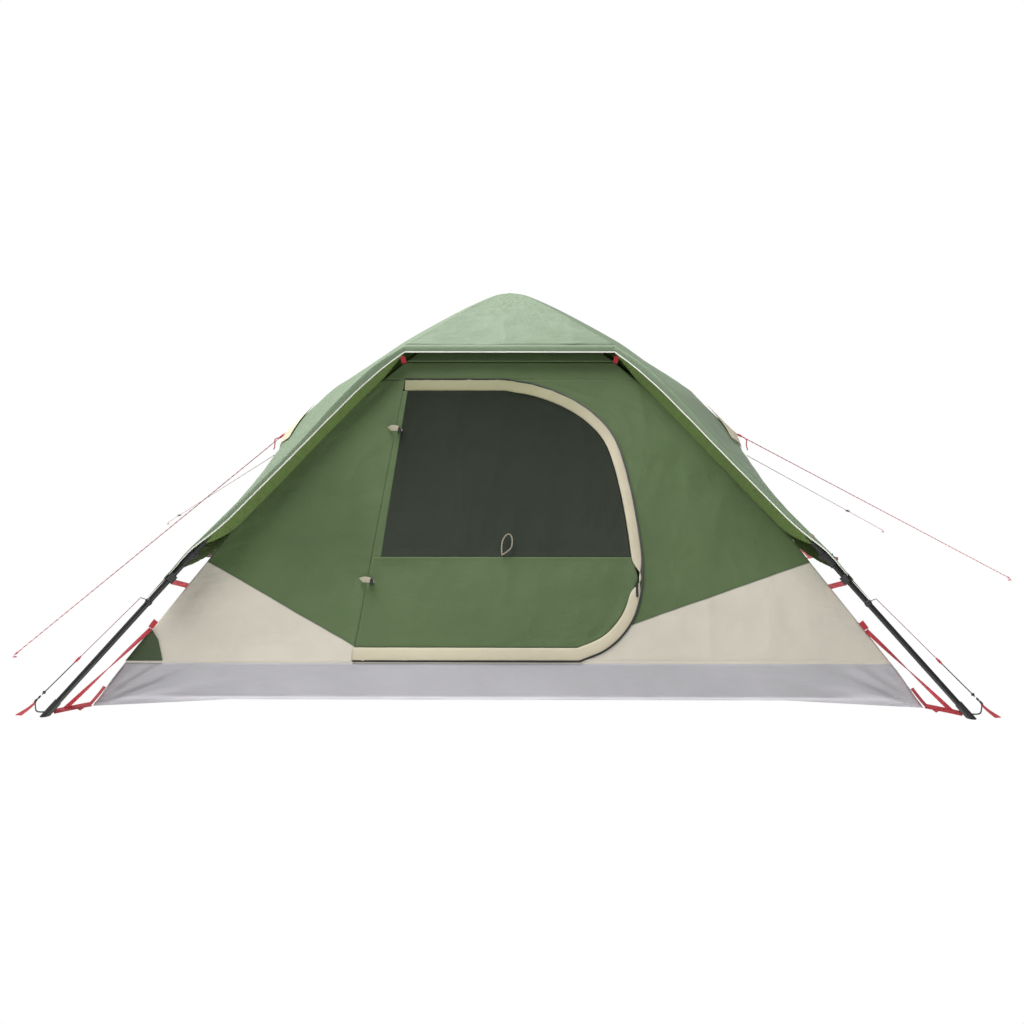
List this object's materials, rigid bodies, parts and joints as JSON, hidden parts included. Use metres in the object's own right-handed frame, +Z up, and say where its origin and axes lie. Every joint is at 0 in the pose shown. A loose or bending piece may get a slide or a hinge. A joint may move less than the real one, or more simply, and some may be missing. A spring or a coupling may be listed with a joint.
{
  "type": "quick-opening dome tent",
  "caption": "Dome tent on four folding legs under a top hub, with a fly sheet, an inner tent, a zipped door, guy lines and webbing straps.",
  "frame": {"origin": "on the ground under the hub, midway between the four feet", "axes": "+Z up, door faces -Y, +X to the right seen from the door side, the longer side of the tent along X"},
  "size_m": [4.1822, 3.3806, 1.322],
  "materials": {
    "black_rod": "glass-fibre rod, satin black",
    "black_tube": "powder-coated steel tube",
    "black_plastic": "moulded plastic",
    "steel": "plain steel",
    "fly_green": "coated polyester, light sage",
    "wall_green": "woven polyester, green",
    "tub_grey": "coated groundsheet cloth",
    "cream_trim": "binding tape",
    "beige_patch": "doubled cloth",
    "mesh": "dark insect mesh",
    "red_webbing": "woven webbing",
    "cord": "braided cord",
    "zip_black": "coil zip"
  },
  "bodies": {
    "root": {"back_wall": "wall_green", "corner_cords": "cord", "corner_hooks": "steel", "door_flap": "cream_trim", "door_toggles": "black_plastic", "door_zip": "zip_black", "floor_straps": "red_webbing", "fly_piping": "cream_trim", "fly_sheet": "fly_green", "front_wall": "wall_green", "groundsheet": "tub_grey", "guy_line_back_left": "cord", "guy_line_back_right": "cord", "guy_line_front_left": "cord", "guy_line_front_right": "cord", "guy_patches": "beige_patch", "inner_roof": "wall_green", "left_wall": "wall_green", "peg_loops": "red_webbing", "right_wall": "wall_green", "tub_band": "tub_grey", "wall_straps": "red_webbing", "webbing_tabs": "red_webbing"},
    "hub": {"hub_body": "black_plastic", "hub_cap": "black_plastic", "hub_pins": "steel"},
    "front_left_upper": {"front_left_upper_rod": "black_rod", "front_left_upper_ends": "black_plastic"},
    "front_left_middle": {"front_left_middle_rod": "black_rod", "front_left_middle_ends": "black_plastic"},
    "front_left_lower": {"front_left_lower_tube": "black_tube", "front_left_lower_ends": "black_plastic", "front_left_clip": "black_plastic"},
    "front_right_upper": {"front_right_upper_rod": "black_rod", "front_right_upper_ends": "black_plastic"},
    "front_right_middle": {"front_right_middle_rod": "black_rod", "front_right_middle_ends": "black_plastic"},
    "front_right_lower": {"front_right_lower_tube": "black_tube", "front_right_lower_ends": "black_plastic", "front_right_clip": "black_plastic"},
    "back_left_upper": {"back_left_upper_rod": "black_rod", "back_left_upper_ends": "black_plastic"},
    "back_left_middle": {"back_left_middle_rod": "black_rod", "back_left_middle_ends": "black_plastic"},
    "back_left_lower": {"back_left_lower_tube": "black_tube", "back_left_lower_ends": "black_plastic", "back_left_clip": "black_plastic"},
    "back_right_upper": {"back_right_upper_rod": "black_rod", "back_right_upper_ends": "black_plastic"},
    "back_right_middle": {"back_right_middle_rod": "black_rod", "back_right_middle_ends": "black_plastic"},
    "back_right_lower": {"back_right_lower_tube": "black_tube", "back_right_lower_ends": "black_plastic", "back_right_clip": "black_plastic"},
    "door": {"door_panel": "wall_green", "door_mesh": "mesh"},
    "slider": {"zip_slider": "black_plastic"},
    "runner_back_left": {"guy_runner_back_left": "black_plastic"},
    "runner_back_right": {"guy_runner_back_right": "black_plastic"}
  },
  "joints": [
    {"name": "hub_drop", "type": "slide", "parent": "root", "child": "hub", "axis": [0, 0, -1], "range_m": [0, 0.34], "deforming": ["tub_band", "front_wall", "back_wall", "left_wall", "right_wall", "inner_roof", "door_flap", "door_zip", "door_toggles", "fly_sheet", "fly_piping", "guy_patches", "webbing_tabs", "wall_straps", "corner_cords", "floor_straps"]},
    {"name": "front_left_hub_hinge", "type": "hinge", "parent": "hub", "child": "front_left_upper", "pos_m": [-0.03457, -0.02881, 1.29], "axis": [0.6402, -0.7682, 0], "range_deg": [0, 64]},
    {"name": "front_left_upper_elbow", "type": "hinge", "parent": "front_left_upper", "child": "front_left_middle", "pos_m": [-0.59564, -0.49637, 0.96447], "axis": [-0.6402, 0.7682, 0], "range_deg": [0, 180]},
    {"name": "front_left_lower_elbow", "type": "hinge", "parent": "front_left_middle", "child": "front_left_lower", "pos_m": [-1.07106, -0.89255, 0.45684], "axis": [0.6402, -0.7682, 0], "range_deg": [0, 165]},
    {"name": "front_right_hub_hinge", "type": "hinge", "parent": "hub", "child": "front_right_upper", "pos_m": [0.03457, -0.02881, 1.29], "axis": [0.6402, 0.7682, 0], "range_deg": [0, 64]},
    {"name": "front_right_upper_elbow", "type": "hinge", "parent": "front_right_upper", "child": "front_right_middle", "pos_m": [0.59564, -0.49637, 0.96447], "axis": [-0.6402, -0.7682, 0], "range_deg": [0, 180]},
    {"name": "front_right_lower_elbow", "type": "hinge", "parent": "front_right_middle", "child": "front_right_lower", "pos_m": [1.07106, -0.89255, 0.45684], "axis": [0.6402, 0.7682, 0], "range_deg": [0, 165]},
    {"name": "back_left_hub_hinge", "type": "hinge", "parent": "hub", "child": "back_left_upper", "pos_m": [-0.03457, 0.02881, 1.29], "axis": [-0.6402, -0.7682, 0], "range_deg": [0, 64]},
    {"name": "back_left_upper_elbow", "type": "hinge", "parent": "back_left_upper", "child": "back_left_middle", "pos_m": [-0.59564, 0.49637, 0.96447], "axis": [0.6402, 0.7682, 0], "range_deg": [0, 180]},
    {"name": "back_left_lower_elbow", "type": "hinge", "parent": "back_left_middle", "child": "back_left_lower", "pos_m": [-1.07106, 0.89255, 0.45684], "axis": [-0.6402, -0.7682, 0], "range_deg": [0, 165]},
    {"name": "back_right_hub_hinge", "type": "hinge", "parent": "hub", "child": "back_right_upper", "pos_m": [0.03457, 0.02881, 1.29], "axis": [-0.6402, 0.7682, 0], "range_deg": [0, 64]},
    {"name": "back_right_upper_elbow", "type": "hinge", "parent": "back_right_upper", "child": "back_right_middle", "pos_m": [0.59564, 0.49637, 0.96447], "axis": [0.6402, -0.7682, 0], "range_deg": [0, 180]},
    {"name": "back_right_lower_elbow", "type": "hinge", "parent": "back_right_middle", "child": "back_right_lower", "pos_m": [1.07106, 0.89255, 0.45684], "axis": [-0.6402, 0.7682, 0], "range_deg": [0, 165]},
    {"name": "door_swing", "type": "hinge", "parent": "root", "child": "door", "pos_m": [-0.447, -0.71061, 0.58434], "axis": [-0.1103, -0.6136, -0.7819], "range_deg": [0, 150]},
    {"name": "zip_slide", "type": "slide", "parent": "root", "child": "slider", "axis": [-0.0524, 0.6165, 0.7856], "range_m": [0, 0.25]},
    {"name": "runner_slide_back_left", "type": "slide", "parent": "root", "child": "runner_back_left", "axis": [-0.3971, 0.8746, -0.278], "range_m": [-0.6, 0.15]},
    {"name": "runner_slide_back_right", "type": "slide", "parent": "root", "child": "runner_back_right", "axis": [0.454, 0.8406, -0.2953], "range_m": [-0.6, 0.15]}
  ],
  "couplings": [
    {"joint": "front_left_hub_hinge", "follows": "hub_drop", "rad_per_m": 3.2853},
    {"joint": "front_left_upper_elbow", "follows": "hub_drop", "rad_per_m": 9.24},
    {"joint": "front_left_lower_elbow", "follows": "hub_drop", "rad_per_m": 8.47},
    {"joint": "front_right_hub_hinge", "follows": "hub_drop", "rad_per_m": 3.2853},
    {"joint": "front_right_upper_elbow", "follows": "hub_drop", "rad_per_m": 9.24},
    {"joint": "front_right_lower_elbow", "follows": "hub_drop", "rad_per_m": 8.47},
    {"joint": "back_left_hub_hinge", "follows": "hub_drop", "rad_per_m": 3.2853},
    {"joint": "back_left_upper_elbow", "follows": "hub_drop", "rad_per_m": 9.24},
    {"joint": "back_left_lower_elbow", "follows": "hub_drop", "rad_per_m": 8.47},
    {"joint": "back_right_hub_hinge", "follows": "hub_drop", "rad_per_m": 3.2853},
    {"joint": "back_right_upper_elbow", "follows": "hub_drop", "rad_per_m": 9.24},
    {"joint": "back_right_lower_elbow", "follows": "hub_drop", "rad_per_m": 8.47}
  ]
}
